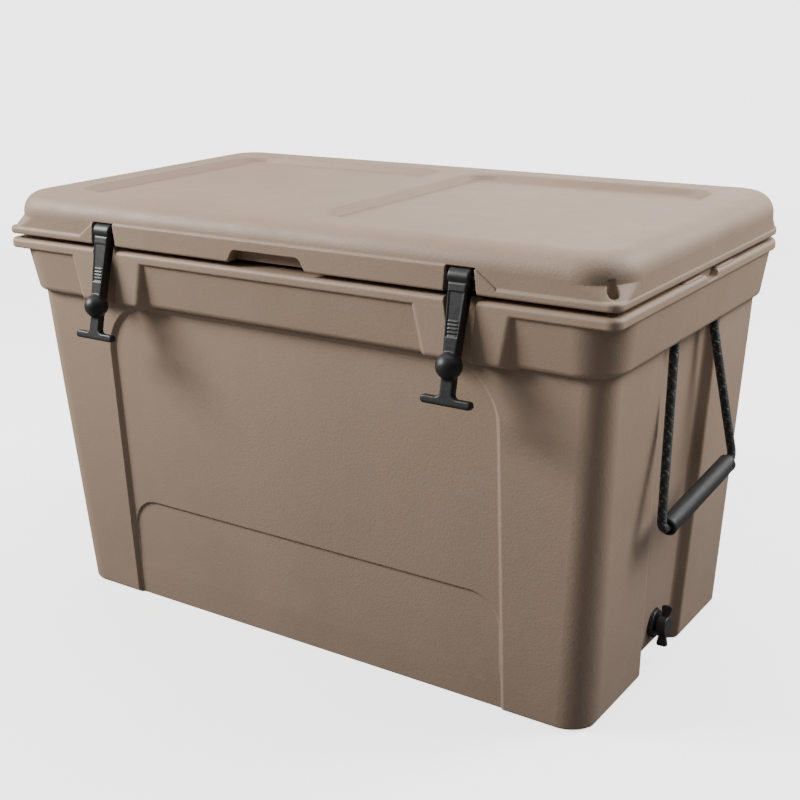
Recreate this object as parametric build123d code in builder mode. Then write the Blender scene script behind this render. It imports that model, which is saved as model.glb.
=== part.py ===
from build123d import *
import os
from math import atan2, cos, radians, sin, tan

# Foam-filled chest with a hinged lid, two latches, rope handles and a drain.
# X runs along the length (+X end carries the drain), -Y is the front (latches),
# +Y the back (hinge), +Z up. The origin is the centre of the base, on the ground.
# Sizes are in mm. Names ending in _X and _Y are half sizes for centred blocks,
# and distances from the centre for everything else.

os.makedirs("parts", exist_ok=True)

# ---------------------------------------------------------------- shared dimensions
SKIN = 4.5                          # moulded skin round the foam
PORT_R = 14.0                       # foam filling ports
TUB_PORT_X, LID_PORT_X = -180.0, -150.0

# lips of the rim and the lid
LIP_X, LIP_Y = 450.0, 250.0
LIP_FRONT_R, LIP_BACK_R = 14.0, 42.0

# tub walls
BASE_Z = 0.0                        # moulded rim the tub stands on
UNDER_Z = 3.0                       # sunk underside inside that rim
UNDER_X, UNDER_Y, UNDER_R = 374.0, 184.0, 28.0
WALL_BASE_X, WALL_BASE_Y, WALL_BASE_R = 407.0, 213.0, 38.0
WALL_TOP_X, WALL_TOP_Y, WALL_TOP_R = 430.0, 226.0, 30.0
WALL_TOP_Z = 430.0                  # height at which the top sizes hold
WALL_END_Z = 440.0                  # the walls run on up into the collar
END_ROUND = 9.0                     # rounding under the two ends

# collar and rim
COLLAR_Z = 435.0
COLLAR_BASE_X, COLLAR_BASE_Y, COLLAR_BASE_R = 438.0, 237.0, 44.0
COLLAR_TOP_X, COLLAR_TOP_Y, COLLAR_TOP_R = 447.0, 246.0, 50.0
RIM_Z, RIM_TOP_Z = 494.0, 507.0

# inside of the chest
CAVITY_Z = 38.0
FLOOR_X, FLOOR_Y, FLOOR_R = 350.0, 155.0, 40.0
MOUTH_X, MOUTH_Y, MOUTH_R = 398.0, 198.0, 50.0

# end channels and front panels
CHANNEL_DEPTH = 13.0
CHANNEL_TOP, CHANNEL_BASE = 85.0, 60.0      # half widths
FRONT_MID_Z = 216.5
FRONT_PANEL_DEPTH = 5.5
LOWER_PANEL_Y = 208.8               # upright floor of the lower front panel

# lid
LID_UNDER_Z = 495.0                 # underside of the part that drops into the mouth
LID_Z, LID_LIP_TOP_Z, LID_TOP_Z = 513.0, 523.0, 568.0
LID_X, LID_Y, LID_R = 449.0, 247.5, 54.0
FLARE_TOP_Z = 538.0                 # below this the corners flare out to the lip
APRON_TOP_Z = 542.0                 # top crease of the front apron
LID_PANEL_DEPTH = 10.0
GROOVE_X, GROOVE_Y, GROOVE_R = 414.0, 214.0, 62.0    # outside of the gasket groove
GROOVE_W, GROOVE_DEPTH = 10.0, 3.0

# latches
LATCH_X = 266.0
LATCH_PIVOT = (-243.0, 530.0)       # y, z
LATCH_PIN_R, LATCH_BORE_R = 2.5, 2.55
LATCH_PIN_HALF = 26.0               # half length of the pin
LATCH_SLOT_HALF = 21.5              # half width of the slots at their wide end

# hinge: two groups of five knuckles, 0, 2 and 4 on the tub, 1 and 3 on the lid
HINGE_Y, HINGE_Z = 256.0, 510.0
HINGE_ROD_R, KNUCKLE_R = 4.0, 12.0
KNUCKLE_W, KNUCKLE_GAP = 29.0, 1.0
KNUCKLE_PITCH = KNUCKLE_W + KNUCKLE_GAP
HINGE_X0 = 150.0                    # inner end of each group
HINGE_LENGTH = 5 * KNUCKLE_W + 4 * KNUCKLE_GAP
HINGE_STARTS = (HINGE_X0, -HINGE_X0 - HINGE_LENGTH)
TUB_KNUCKLES, LID_KNUCKLES = (0, 2, 4), (1, 3)

# padlock holes in the front ears
PADLOCK_X, PADLOCK_Y, PADLOCK_R = 435.5, 235.5, 4.0
PADLOCKS = [(PADLOCK_X, -PADLOCK_Y), (-PADLOCK_X, -PADLOCK_Y)]

# rope handles
ROPE_R = 5.5
ROPE_X, ROPE_Y, ROPE_Z = 432.0, 60.0, 428.0    # where each strand leaves the collar
GRIP_FRONT = Vector(443.0, -86.0, 223.0)       # ends of the right grip
GRIP_BACK = Vector(453.0, 79.0, 251.0)
GRIP_R, GRIP_BORE_R = 11.5, 7.0
GRIP_LENGTH = (GRIP_BACK - GRIP_FRONT).length
GRIP_DIR = (GRIP_BACK - GRIP_FRONT).normalized()
CAP_X, CAP_Y, CAP_Z = 434.0, 49.0, 503.0       # caps over the knot pockets
CAP_W, CAP_L, CAP_R = 26.0, 54.0, 5.0

# drain, along X through the right end
DRAIN_Z = 48.0
DRAIN = (0, DRAIN_Z)                # y, z
DRAIN_START_X = 330.0               # drain cuts start here, inside the cavity
DRAIN_NUT_X, DRAIN_NUT_T = 345.0, 9.0
DRAIN_SEAT_X = 395.5
DRAIN_GASKET_T, DRAIN_FLANGE_T = 2.0, 4.5
DRAIN_FLANGE_X = DRAIN_SEAT_X + DRAIN_GASKET_T
DRAIN_FACE_X = DRAIN_FLANGE_X + DRAIN_FLANGE_T      # outer face of the fitting
WING_TILT = 18.0                    # the plug's wings lean this far off vertical

# feet
FOOT_X, FOOT_Y, FOOT_R = 350.0, 160.0, 20.0
FOOT_TOP_Z = UNDER_Z + 2.0


# ---------------------------------------------------------------- helpers
def wall_x(z):
    return WALL_BASE_X + (WALL_TOP_X - WALL_BASE_X) * (z - BASE_Z) / (WALL_TOP_Z - BASE_Z)


def wall_y(z):
    return WALL_BASE_Y + (WALL_TOP_Y - WALL_BASE_Y) * (z - BASE_Z) / (WALL_TOP_Z - BASE_Z)


def four_corners(x, y):
    return [(x, y), (x, -y), (-x, y), (-x, -y)]


ROPES = four_corners(ROPE_X, ROPE_Y)
FEET = four_corners(FOOT_X, FOOT_Y)


def trapezoid(centre, start, start_half, end, end_half):
    """Corners of a trapezoid from height start to height end, given its half widths."""
    return (
        (centre - start_half, start),
        (centre + start_half, start),
        (centre + end_half, end),
        (centre - end_half, end),
    )


def soften(edges, radii):
    """Round the edges with the first radius in the list that can be built."""
    edges = list(edges)
    if not edges:
        return
    for radius in radii:
        # guards against a radius the geometry cannot take: the next one is tried,
        # and the edges stay sharp if none fits
        try:
            fillet(edges, radius)
            return
        except Exception:
            continue


def cut(*tools):
    """Subtract each tool from the part being built."""
    for tool in tools:
        add(tool, mode=Mode.SUBTRACT)


def add_both_ends(shape, mode=Mode.ADD):
    """Add or subtract a shape and its mirror image at the other end."""
    add(shape, mode=mode)
    add(mirror(shape, about=Plane.YZ, mode=Mode.PRIVATE), mode=mode)


def cylinders(plane, places, radius, height):
    with BuildPart() as made:
        with BuildSketch(plane):
            with Locations(*places):
                Circle(radius)
        extrude(amount=height)
    return made.part


def z_cylinders(bottom_z, places, radius, height):
    return cylinders(Plane.XY.offset(bottom_z), places, radius, height)


def x_cylinder(start_x, centre, radius, length):
    return cylinders(Plane.YZ.offset(start_x), [centre], radius, length)


def rounded(half_x, half_y, radius, mode=Mode.ADD):
    """Rounded rectangle from its half sizes, in the current sketch."""
    RectangleRounded(2 * half_x, 2 * half_y, radius, mode=mode)


def eared(sketch, half_x, half_y, front_r, back_r):
    """Rectangle with its own radii at the front and back, in the given sketch."""
    Rectangle(2 * half_x, 2 * half_y)
    fillet(sketch.vertices().group_by(Axis.Y)[0], front_r)
    fillet(sketch.vertices().group_by(Axis.Y)[-1], back_r)


def tapered_block(*sections):
    """Loft through rounded rectangles; each section is (z, half x, half y, radius)."""
    with BuildPart() as block:
        for z, half_x, half_y, radius in sections:
            with BuildSketch(Plane.XY.offset(z)):
                rounded(half_x, half_y, radius)
        loft(ruled=True)
    return block.part


# ---------------------------------------------------------------- tools for the tub
def front_recess():
    """Sloped-sided recess of the front wall, cut square to the wall."""
    lean = atan2(WALL_TOP_Y - WALL_BASE_Y, WALL_TOP_Z - BASE_Z)
    front = Plane(
        origin=(0, -wall_y(FRONT_MID_Z), FRONT_MID_Z),
        x_dir=(1, 0, 0),
        z_dir=(0, -cos(lean), -sin(lean)),
    )
    with BuildPart() as recess:
        with BuildSketch(front.offset(-FRONT_PANEL_DEPTH)) as outline:
            with Locations((0, -19.0)):
                Rectangle(588.0, 455.0)
            fillet(outline.vertices().group_by(Axis.Y)[-1], 64.0)
        extrude(amount=14.0, taper=-48.0)
    return recess.part


def lower_recess():
    """Lower front panel, with an upright floor."""
    with BuildPart() as recess:
        with BuildSketch(Plane.XZ.offset(LOWER_PANEL_Y)) as outline:
            with Locations((0, 55.5)):
                Rectangle(584.0, 178.0)
            fillet(outline.vertices().group_by(Axis.Y)[-1], 40.0)
        extrude(amount=18.0, taper=-50.0)
    return recess.part


def end_channel():
    """Upright channel in the right end, wider towards the top."""
    mouth_flare, floor_inset = 7.0, 9.0
    with BuildPart() as channel:
        for z, half in ((-5.0, CHANNEL_BASE), (WALL_END_Z, CHANNEL_TOP)):
            outer_x = wall_x(z) + 10.0
            floor_x = wall_x(z) - CHANNEL_DEPTH
            with BuildSketch(Plane.XY.offset(z)) as outline:
                Polygon(
                    (outer_x, -half - mouth_flare),
                    (outer_x, half + mouth_flare),
                    (floor_x, half - floor_inset),
                    (floor_x, -half + floor_inset),
                    align=None,
                )
                fillet(outline.vertices().sort_by(Axis.X)[:2], 7.0)
        loft(ruled=True)
    return channel.part


def end_chamfer():
    """Slope under the middle of the right end."""
    with BuildPart() as chamfer_tool:
        with BuildSketch(Plane.XZ):
            Polygon((440.0, 26.0), (395.0, 26.0), (379.0, -2.0), (440.0, -2.0), align=None)
        extrude(amount=54.0, both=True)
    return chamfer_tool.part


def end_round():
    """What the rounding under the right end takes away."""
    centre_x = wall_x(END_ROUND) - END_ROUND
    with BuildPart() as round_tool:
        with BuildSketch(Plane.XZ):
            with Locations((centre_x + 20.0, END_ROUND / 2.0 - 1.0)):
                Rectangle(40.0, END_ROUND + 2.0)
            with Locations((centre_x, END_ROUND)):
                Circle(END_ROUND, mode=Mode.SUBTRACT)
        extrude(amount=300.0, both=True)
    return round_tool.part


def cavity():
    with BuildPart() as inside:
        add(tapered_block(
            (CAVITY_Z, FLOOR_X, FLOOR_Y, FLOOR_R),
            (RIM_TOP_Z, MOUTH_X, MOUTH_Y, MOUTH_R),
        ))
        soften(inside.edges().group_by(Axis.Z)[0], (22.0, 16.0, 10.0))
    return inside.part


# ---------------------------------------------------------------- foam core of the tub
def body_foam():
    upper_z, upper_height = 425.0, 80.0     # cuts through the top of the foam
    with BuildPart() as foam:
        add(tapered_block(
            (UNDER_Z + SKIN, WALL_BASE_X - 10.0, WALL_BASE_Y - 10.0, 28.0),
            (WALL_END_Z, WALL_TOP_X - SKIN, WALL_TOP_Y - SKIN, 26.0),
        ))
        with BuildSketch(Plane.XY.offset(WALL_END_Z)):
            rounded(COLLAR_BASE_X - SKIN, COLLAR_BASE_Y - SKIN, 40.0)
        extrude(amount=48.0)
        # a skin's thickness clear of the cavity, recesses and ends
        cut(tapered_block(
            (CAVITY_Z - SKIN, FLOOR_X + SKIN, FLOOR_Y + SKIN, FLOOR_R + 4.0),
            (RIM_TOP_Z, MOUTH_X + SKIN, MOUTH_Y + SKIN, MOUTH_R + 4.0),
        ))
        cut(front_recess().moved(Location((0, SKIN, 0))))
        cut(lower_recess().moved(Location((0, SKIN, 0))))
        add_both_ends(end_channel().moved(Location((-SKIN, 0, 0))), Mode.SUBTRACT)
        add_both_ends(end_chamfer().moved(Location((-SKIN, 0, SKIN))), Mode.SUBTRACT)
        # rope pockets and latch slots keep solid plastic round them
        cut(z_cylinders(upper_z, ROPES, 16.0, upper_height))
        with BuildSketch(Plane.XY.offset(upper_z)):
            with Locations((LATCH_X, -240.0), (-LATCH_X, -240.0)):
                Rectangle(56.0, 26.0)
        extrude(amount=upper_height, mode=Mode.SUBTRACT)
        # moulded tube round the drain
        cut(x_cylinder(DRAIN_START_X, DRAIN, 24.0, 100.0))
        # screw bosses over the feet
        cut(z_cylinders(UNDER_Z, FEET, 25.0, 8.0))
        cut(z_cylinders(UNDER_Z, FEET, 8.0, 19.0))
    return foam.part


# ---------------------------------------------------------------- collar, lips, bosses
def collar():
    with BuildPart() as band:
        add(tapered_block(
            (COLLAR_Z, COLLAR_BASE_X, COLLAR_BASE_Y, COLLAR_BASE_R),
            (RIM_Z + 1.0, COLLAR_TOP_X, COLLAR_TOP_Y, COLLAR_TOP_R),
        ))
        soften(band.edges().group_by(Axis.Z)[0], (8.0, 6.0, 4.0))
    return band.part


def lip(bottom_z, top_z, top_radii):
    """Flat lip of the rim or the lid."""
    with BuildPart() as plate:
        with BuildSketch(Plane.XY.offset(bottom_z)) as outline:
            eared(outline, LIP_X, LIP_Y, LIP_FRONT_R, LIP_BACK_R)
        extrude(amount=top_z - bottom_z)
        soften(plate.edges().group_by(Axis.Z)[-1], top_radii)
        soften(plate.edges().group_by(Axis.Z)[0], (3.0, 2.0))
    return plate.part


def latch_boss():
    """Boss on the collar behind the right latch."""
    top_z = 496.0
    with BuildPart() as boss:
        with BuildSketch(Plane.XZ.offset(LIP_Y)):
            Polygon(*trapezoid(LATCH_X, top_z, 63.0, 438.0, 48.0), align=None)
        with BuildSketch(Plane.XZ.offset(228.0)):
            Polygon(*trapezoid(LATCH_X, top_z, 68.0, 431.0, 64.0), align=None)
        loft(ruled=True)
        soften(
            [
                edge
                for edge in boss.edges()
                if edge.center().Y < -229.0 and edge.length > 20.0 and edge.center().Z < 490.0
            ],
            (7.0, 5.0, 3.0),
        )
    return boss.part


def latch_boss_slot():
    with BuildPart() as slot:
        with BuildSketch(Plane.XZ.offset(260.0)):
            Polygon(*trapezoid(LATCH_X, 510.0, LATCH_SLOT_HALF, 428.0, 10.5), align=None)
        extrude(amount=-28.0)
        soften(
            [
                edge
                for edge in slot.edges()
                if edge.center().Y > -233.0 and abs(edge.tangent_at(0.5).Z) > 0.9
            ],
            (6.0, 4.0),
        )
    return slot.part


# ---------------------------------------------------------------- hinge
def knuckles(slots, side, root_y, root_z):
    """Knuckles on stems that reach down (side -1) or up (side 1) to root_z."""
    inner_y = 236.0
    flat_z = HINGE_Z + side * 3.5
    with BuildPart() as made:
        for start_x in HINGE_STARTS:
            for slot in slots:
                with BuildSketch(Plane.YZ.offset(start_x + slot * KNUCKLE_PITCH)):
                    with Locations((HINGE_Y, HINGE_Z)):
                        Circle(KNUCKLE_R)
                    Polygon(
                        (HINGE_Y, HINGE_Z),
                        (HINGE_Y + KNUCKLE_R, HINGE_Z),
                        (root_y, root_z),
                        (inner_y, root_z),
                        (inner_y, flat_z),
                        (HINGE_Y - 11.0, flat_z),
                        align=None,
                    )
                extrude(amount=KNUCKLE_W)
    return made.part


def knuckle_notches(slots):
    """Clearance round the other part's knuckles."""
    with BuildPart() as notches:
        for start_x in HINGE_STARTS:
            for slot in slots:
                add(x_cylinder(
                    start_x + slot * KNUCKLE_PITCH - KNUCKLE_GAP,
                    (HINGE_Y, HINGE_Z),
                    KNUCKLE_R + 1.2,
                    KNUCKLE_W + 2 * KNUCKLE_GAP,
                ))
    return notches.part


def cut_hinge_bores(clearance):
    for start_x in HINGE_STARTS:
        cut(x_cylinder(
            start_x - 5.0,
            (HINGE_Y, HINGE_Z),
            HINGE_ROD_R + clearance,
            5 * KNUCKLE_PITCH + 10.0,
        ))


def hinge_rod():
    overhang = 2.0
    with BuildPart() as rod:
        add(x_cylinder(
            HINGE_X0 - overhang, (HINGE_Y, HINGE_Z), HINGE_ROD_R, HINGE_LENGTH + 2 * overhang
        ))
        chamfer(rod.edges().group_by(Axis.X)[0], 0.8)
        chamfer(rod.edges().group_by(Axis.X)[-1], 0.8)
    return rod.part


# ---------------------------------------------------------------- tub shell
def tub_walls():
    """Solid walls with the outside recesses, before the collar goes on."""
    with BuildPart() as walls:
        add(tapered_block(
            (BASE_Z, WALL_BASE_X, WALL_BASE_Y, WALL_BASE_R),
            (WALL_END_Z, wall_x(WALL_END_Z), wall_y(WALL_END_Z), WALL_TOP_R),
        ))
        soften(walls.edges().group_by(Axis.Z)[0], (4.0, 3.0, 2.0))
        add_both_ends(end_round(), Mode.SUBTRACT)
        cut(front_recess(), lower_recess())
        add_both_ends(end_channel(), Mode.SUBTRACT)
        add_both_ends(end_chamfer(), Mode.SUBTRACT)
        # rims of the end channels
        soften(
            [
                edge
                for edge in walls.edges()
                if edge.length > 300.0
                and abs(edge.center().X) > 405.0
                and 66.0 < abs(edge.center().Y) < 90.0
            ],
            (5.0, 3.0, 2.0),
        )
        # rims of the front recesses
        soften(
            [
                edge
                for edge in walls.edges()
                if edge.center().Y < -200.0
                and edge.length > 40.0
                and 60.0 < edge.center().Z < 432.0
                and abs(edge.center().X) < 320.0
            ],
            (4.0, 3.0, 2.0, 1.5),
        )
    return walls.part


def body_shell(foam):
    scoop_depth = 14.0
    with BuildPart() as shell:
        add(tub_walls())
        add(collar())
        add(lip(RIM_Z, RIM_TOP_Z, top_radii=(5.0, 4.0)))
        add_both_ends(latch_boss())
        add_both_ends(latch_boss_slot(), Mode.SUBTRACT)
        cut(cavity())
        cut(knuckle_notches(LID_KNUCKLES))
        add(knuckles(TUB_KNUCKLES, side=-1, root_y=245.0, root_z=466.0))
        cut_hinge_bores(clearance=0.01)
        cut(z_cylinders(RIM_Z - 2.0, PADLOCKS, PADLOCK_R, 20.0))
        # rope holes, knot pockets and the seats of the caps over them
        cut(z_cylinders(COLLAR_Z - 2.0, ROPES, 6.1, 40.0))
        cut(z_cylinders(468.0, ROPES, 8.0, 44.0))
        with BuildSketch(Plane.XY.offset(CAP_Z)):
            with Locations(*four_corners(CAP_X, CAP_Y)):
                RectangleRounded(CAP_W, CAP_L, CAP_R)
        extrude(amount=10.0, mode=Mode.SUBTRACT)
        # scoop at the middle of each end
        for start_x in (440.0, -440.0 - scoop_depth):
            with BuildSketch(Plane.YZ.offset(start_x)) as scoop:
                Polygon(*trapezoid(0.0, 499.0, 13.0, 508.0, 20.0), align=None)
                fillet(scoop.vertices().group_by(Axis.Y)[0], 5.0)
            extrude(amount=scoop_depth, mode=Mode.SUBTRACT)
        # drain hole, outer seat and inner seat
        cut(x_cylinder(DRAIN_START_X, DRAIN, 10.0, 90.0))
        cut(x_cylinder(DRAIN_SEAT_X, DRAIN, 19.5, 20.0))
        cut(x_cylinder(320.0, DRAIN, 18.0, DRAIN_NUT_X + DRAIN_NUT_T - 320.0))
        # sunk underside, foot seats and screw holes
        with BuildSketch(Plane.XY.offset(BASE_Z - 1.0)):
            rounded(UNDER_X, UNDER_Y, UNDER_R)
        extrude(amount=UNDER_Z + 1.0, mode=Mode.SUBTRACT)
        cut(z_cylinders(UNDER_Z - 1.0, FEET, FOOT_R, FOOT_TOP_Z - UNDER_Z + 1.0))
        cut(z_cylinders(UNDER_Z, FEET, 2.2, 14.0))
        # foam filling port and the foam space itself
        cut(z_cylinders(UNDER_Z - 1.0, [(TUB_PORT_X, 0)], PORT_R, SKIN + 1.0))
        cut(foam)
    return shell.part


def foam_plug(x, under_z):
    """Plug of a foam filling port, set slightly above the underside."""
    sink = 0.5
    with BuildPart() as plug:
        add(z_cylinders(under_z + sink, [(x, 0)], PORT_R, SKIN - sink))
        fillet(plug.edges().group_by(Axis.Z)[0], 0.6)
    return plug.part


# ---------------------------------------------------------------- lid
def lid_foam():
    with BuildPart() as foam:
        with BuildSketch(Plane.XY.offset(LID_UNDER_Z + SKIN)):
            rounded(385.0, 185.0, 42.0)
        extrude(amount=20.0)
        with BuildSketch(Plane.XY.offset(518.0)):
            rounded(426.0, 224.0, 62.0)
        extrude(amount=35.0)
        # clear of the finger cut-out
        with BuildSketch(Plane.XY.offset(510.0)):
            with Locations((0, -226.0)):
                Rectangle(140.0, 12.0)
        extrude(amount=26.0, mode=Mode.SUBTRACT)
    return foam.part


def lid_top():
    bottom_z = LID_Z + 2.0
    with BuildPart() as block:
        with BuildSketch(Plane.XY.offset(bottom_z)):
            rounded(LID_X, LID_Y, LID_R)
        extrude(amount=LID_TOP_Z - bottom_z)
        soften(block.edges().group_by(Axis.Z)[-1], (27.0, 24.0, 20.0))
    return block.part


def lid_flare():
    """Corners of the lid running out to the lip."""
    with BuildPart() as flare:
        with BuildSketch(Plane.XY.offset(LID_LIP_TOP_Z - 2.0)) as lower:
            eared(lower, LID_X, LID_Y, LIP_FRONT_R + 6.0, LIP_BACK_R)
        with BuildSketch(Plane.XY.offset(FLARE_TOP_Z)) as upper:
            eared(upper, LID_X - 0.2, LID_Y - 0.2, LID_R + 1.0, LID_R + 3.0)
        loft(ruled=True)
    return flare.part


def lid_apron():
    """Raised band along the front of the lid."""
    base_half, top_half = 309.0, 283.0
    with BuildPart() as apron:
        with BuildSketch(Plane.XZ.offset(LIP_Y)) as outline:
            Polygon(
                (-base_half, LID_Z + 3.0),
                (base_half, LID_Z + 3.0),
                (base_half, LID_LIP_TOP_Z),
                (top_half, APRON_TOP_Z),
                (-top_half, APRON_TOP_Z),
                (-base_half, LID_LIP_TOP_Z),
                align=None,
            )
            fillet(outline.vertices().group_by(Axis.Y)[-1], 8.0)
        extrude(amount=-20.0)
        # crease round the front face
        soften(
            [
                edge
                for edge in apron.edges()
                if edge.center().Y < -249.0
                and edge.center().Z > LID_LIP_TOP_Z - 1.0
                and edge.length > 3.0
            ],
            (2.0, 1.5, 1.0),
        )
    return apron.part


def lid_panel():
    """Sunk panel in the right half of the lid top."""
    with BuildPart() as panel:
        with BuildSketch(Plane.XY.offset(LID_TOP_Z - LID_PANEL_DEPTH)):
            with Locations((203.5, 0)):
                RectangleRounded(351.0, 362.0, 36.0)
        extrude(amount=14.0, taper=-31.0)
        soften(panel.edges().group_by(Axis.Z)[0], (4.0, 3.0))
    return panel.part


def groove_ring(fit):
    """Outline of the gasket groove, shrunk by fit on both sides, in the current sketch."""
    inset = GROOVE_W - fit
    rounded(GROOVE_X - fit, GROOVE_Y - fit, GROOVE_R - fit)
    rounded(GROOVE_X - inset, GROOVE_Y - inset, GROOVE_R - inset, mode=Mode.SUBTRACT)


def lid_blank():
    """Solid lid before the cuts along its front edge and underneath."""
    with BuildPart() as blank:
        add(lid_top())
        add_both_ends(lid_panel(), Mode.SUBTRACT)
        # rims of the sunk panels
        soften(
            [
                edge
                for edge in blank.edges().group_by(Axis.Z)[-1]
                if abs(edge.center().Y) < 192.0 and abs(edge.center().X) < 392.0
            ],
            (5.0, 4.0, 3.0, 2.0),
        )
        add(lid_flare())
        add(lip(LID_Z, LID_LIP_TOP_Z, top_radii=(4.0, 3.0)))
        add(lid_apron())
        # part that drops into the mouth
        with BuildSketch(Plane.XY.offset(LID_UNDER_Z)):
            rounded(389.5, 189.5, 46.0)
        extrude(amount=22.0)
        soften(blank.edges().group_by(Axis.Z)[0], (5.0, 3.0))
    return blank.part


def lid_shell(foam):
    cut_plane = Plane.XZ.offset(LIP_Y + 4.0)    # just in front of the lip
    cut_bottom_z = 508.0
    with BuildPart() as shell:
        add(lid_blank())
        # finger cut-out in the middle of the apron
        with BuildSketch(cut_plane) as cutout:
            Polygon(*trapezoid(0.0, cut_bottom_z, 62.0, 529.0, 50.0), align=None)
            fillet(cutout.vertices().group_by(Axis.Y)[-1], 8.0)
        extrude(amount=-24.0, mode=Mode.SUBTRACT)
        # latch slots and pin holes
        for latch_x in (LATCH_X, -LATCH_X):
            with BuildSketch(cut_plane):
                Polygon(
                    *trapezoid(latch_x, cut_bottom_z, LATCH_SLOT_HALF, APRON_TOP_Z, 18.0),
                    align=None,
                )
            extrude(amount=-23.0, mode=Mode.SUBTRACT)
            cut(x_cylinder(
                latch_x - LATCH_PIN_HALF, LATCH_PIVOT, LATCH_PIN_R + 0.01, 2 * LATCH_PIN_HALF
            ))
        # front corners of the latch slots
        soften(
            [
                edge
                for edge in shell.edges()
                if abs(edge.center().Y + LIP_Y) < 1.5
                and 24.0 > abs(abs(edge.center().X) - LATCH_X) > 16.0
                and edge.length > 10.0
                and LID_Z + 2.0 < edge.center().Z < APRON_TOP_Z - 1.0
            ],
            (2.5, 1.5, 1.0),
        )
        cut(knuckle_notches(TUB_KNUCKLES))
        add(knuckles(LID_KNUCKLES, side=1, root_y=246.5, root_z=546.0))
        cut_hinge_bores(clearance=0.05)
        # padlock holes in the ears, with room above them
        cut(z_cylinders(LID_Z - 2.0, PADLOCKS, PADLOCK_R, 14.0))
        cut(z_cylinders(LID_LIP_TOP_Z, PADLOCKS, 6.5, 20.0))
        # gasket groove
        with BuildSketch(Plane.XY.offset(LID_Z - 1.0)):
            groove_ring(fit=0.0)
        extrude(amount=GROOVE_DEPTH + 1.0, mode=Mode.SUBTRACT)
        # foam filling port and the foam space
        cut(z_cylinders(LID_UNDER_Z - 1.0, [(LID_PORT_X, 0)], PORT_R, SKIN + 1.5))
        cut(foam)
    return shell.part


def lid_gasket():
    bottom_z = RIM_TOP_Z + 0.2
    with BuildPart() as gasket:
        with BuildSketch(Plane.XY.offset(bottom_z)):
            groove_ring(fit=0.1)
        extrude(amount=LID_Z + GROOVE_DEPTH - bottom_z)
        fillet(gasket.edges().group_by(Axis.Z)[0], 2.5)
    return gasket.part


# ---------------------------------------------------------------- latches
def latch():
    strap_top_y, strap_top_z = -255.0, 521.0    # front face of the strap
    strap_end_y, strap_end_z = -272.0, 452.0
    barrel_half = 13.5
    stem_half = 8.5                 # half width of the strap's foot and the tee's stem
    bar_y, bar_height = -122.5, 9.6
    lean = atan2(strap_top_y - strap_end_y, strap_top_z - strap_end_z)
    # local y runs up the strap, local z out of its front face
    strap = Plane(
        origin=(LATCH_X, strap_top_y, strap_top_z),
        x_dir=(1, 0, 0),
        z_dir=(0, -cos(lean), sin(lean)),
    )
    with BuildPart() as made:
        # barrel round the pin
        add(x_cylinder(LATCH_X - barrel_half, LATCH_PIVOT, 11.0, 2 * barrel_half))
        fillet(made.edges().filter_by(GeomType.CIRCLE), 2.0)
        with BuildSketch(strap):
            Polygon(*trapezoid(0.0, 4.0, 12.5, -84.0, stem_half), align=None)
        extrude(amount=-14.0)
        soften(
            [
                edge
                for edge in made.edges()
                if abs(edge.tangent_at(0.5).Z) > 0.9 and edge.length > 60.0
            ],
            (3.0, 2.0, 1.0),
        )
        # ball that seats under the boss
        with Locations((LATCH_X, strap_end_y, 439.0)):
            Sphere(15.0)
        # pull tee below the ball
        with BuildSketch(strap.offset(-2.0)) as tee:
            with Locations((0, -97.0)):
                Rectangle(2 * stem_half, 46.0)
            with Locations((0, bar_y)):
                RectangleRounded(64.0, bar_height, 4.6)
            fillet(
                [
                    vertex
                    for vertex in tee.vertices()
                    if abs(abs(vertex.X) - stem_half) < 0.1
                    and abs(vertex.Y - bar_y - bar_height / 2.0) < 0.2
                ],
                5.0,
            )
        extrude(amount=-10.0)
        soften(
            [edge for edge in made.edges() if edge.center().Z < 425.0 and edge.length > 8.0],
            (2.5, 1.5, 1.0),
        )
        cut(x_cylinder(LATCH_X - 20.0, LATCH_PIVOT, LATCH_BORE_R, 40.0))
    return made.part


def latch_pin():
    return x_cylinder(LATCH_X - LATCH_PIN_HALF, LATCH_PIVOT, LATCH_PIN_R, 2 * LATCH_PIN_HALF)


# ---------------------------------------------------------------- rope handles
def rounded_corner(before, corner, after, radius):
    """Start, middle and end of the arc that rounds a corner of the rope's path."""
    to_before = (before - corner).normalized()
    to_after = (after - corner).normalized()
    half_angle = radians(to_before.get_angle(to_after) / 2.0)
    setback = radius / tan(half_angle)
    bisector = (to_before + to_after).normalized()
    centre = corner + bisector * (radius / sin(half_angle))
    return (
        corner + to_before * setback,
        centre - bisector * radius,
        corner + to_after * setback,
    )


def handle_rope():
    turn_out, turn_r = 14.0, 10.0   # the rope turns just outside the grip
    front_anchor = Vector(ROPE_X, -ROPE_Y, ROPE_Z)
    back_anchor = Vector(ROPE_X, ROPE_Y, ROPE_Z)
    front_turn = GRIP_FRONT - GRIP_DIR * turn_out
    back_turn = GRIP_BACK + GRIP_DIR * turn_out
    front_arc = rounded_corner(front_anchor, front_turn, back_turn, turn_r)
    back_arc = rounded_corner(front_turn, back_turn, back_anchor, turn_r)
    start_dir = (front_arc[0] - front_anchor).normalized()
    with BuildPart() as rope:
        with BuildLine() as path:
            Line(front_anchor, front_arc[0])
            ThreePointArc(*front_arc)
            Line(front_arc[2], back_arc[0])
            ThreePointArc(*back_arc)
            Line(back_arc[2], back_anchor)
        with BuildSketch(Plane(origin=front_anchor, z_dir=start_dir)):
            Circle(ROPE_R)
        sweep(path=path.wire())
        with Locations(front_anchor, back_anchor):
            Sphere(ROPE_R)
            Cylinder(ROPE_R, 7.0, rotation=(90, 0, 0))
    return rope.part


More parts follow.
